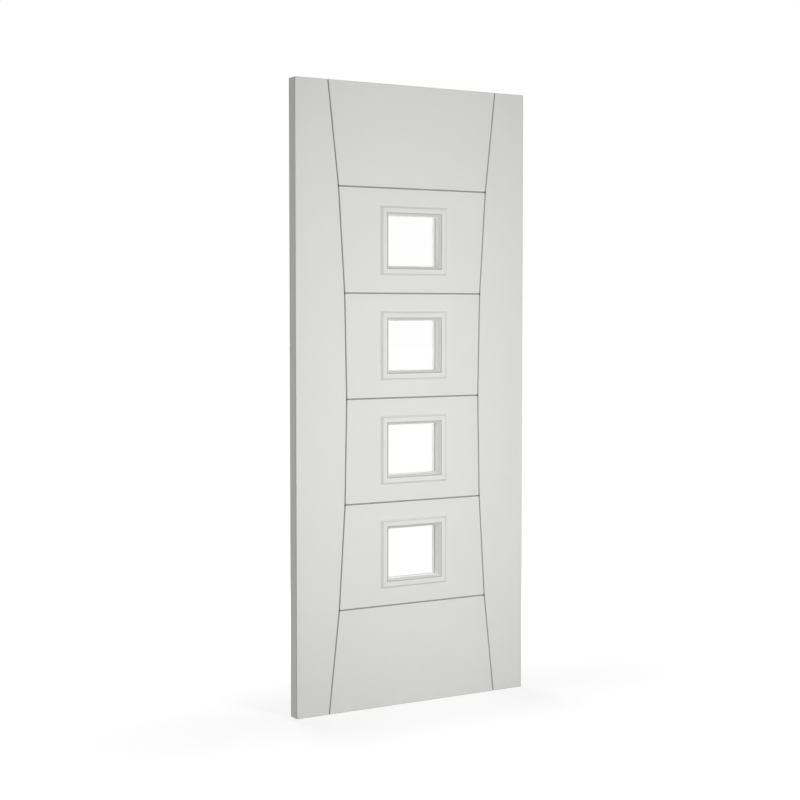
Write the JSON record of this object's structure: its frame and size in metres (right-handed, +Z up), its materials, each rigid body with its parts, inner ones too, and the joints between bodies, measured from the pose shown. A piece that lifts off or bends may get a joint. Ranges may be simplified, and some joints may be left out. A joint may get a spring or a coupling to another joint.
{
  "type": "glazed internal door leaf",
  "caption": "Flush internal door leaf, primed white, with bowed side grooves, level cross grooves and a column of small clear panes in raised beads.",
  "frame": {"origin": "middle of the hinge edge's face: midway up it and midway through its thickness", "axes": "+X from the hinge edge to the lock edge, +Y from the front face to the back face, +Z up"},
  "size_m": [0.838, 0.055, 1.981],
  "materials": {
    "primed_facing": "white primer on smooth fibreboard, satin",
    "primed_core_timber": "white primer on solid timber, satin",
    "primed_bead": "white primer on moulded timber bead, satin",
    "clear_glass": "clear, polished"
  },
  "bodies": {
    "root": {"hinge_lipping": "primed_core_timber", "hinge_stile": "primed_core_timber", "top_rail": "primed_core_timber", "bottom_rail": "primed_core_timber", "core_panel": "primed_core_timber", "lock_stile": "primed_core_timber", "lock_lipping": "primed_core_timber", "front_facing": "primed_facing", "back_facing": "primed_facing", "glass_1": "clear_glass", "glass_2": "clear_glass", "glass_3": "clear_glass", "glass_4": "clear_glass", "front_bead_1_top": "primed_bead", "front_bead_1_lock": "primed_bead", "front_bead_1_bottom": "primed_bead", "front_bead_1_hinge": "primed_bead", "front_bead_2_top": "primed_bead", "front_bead_2_lock": "primed_bead", "front_bead_2_bottom": "primed_bead", "front_bead_2_hinge": "primed_bead", "front_bead_3_top": "primed_bead", "front_bead_3_lock": "primed_bead", "front_bead_3_bottom": "primed_bead", "front_bead_3_hinge": "primed_bead", "front_bead_4_top": "primed_bead", "front_bead_4_lock": "primed_bead", "front_bead_4_bottom": "primed_bead", "front_bead_4_hinge": "primed_bead", "back_bead_1_top": "primed_bead", "back_bead_1_lock": "primed_bead", "back_bead_1_bottom": "primed_bead", "back_bead_1_hinge": "primed_bead", "back_bead_2_top": "primed_bead", "back_bead_2_lock": "primed_bead", "back_bead_2_bottom": "primed_bead", "back_bead_2_hinge": "primed_bead", "back_bead_3_top": "primed_bead", "back_bead_3_lock": "primed_bead", "back_bead_3_bottom": "primed_bead", "back_bead_3_hinge": "primed_bead", "back_bead_4_top": "primed_bead", "back_bead_4_lock": "primed_bead", "back_bead_4_bottom": "primed_bead", "back_bead_4_hinge": "primed_bead"}
  },
  "joints": []
}
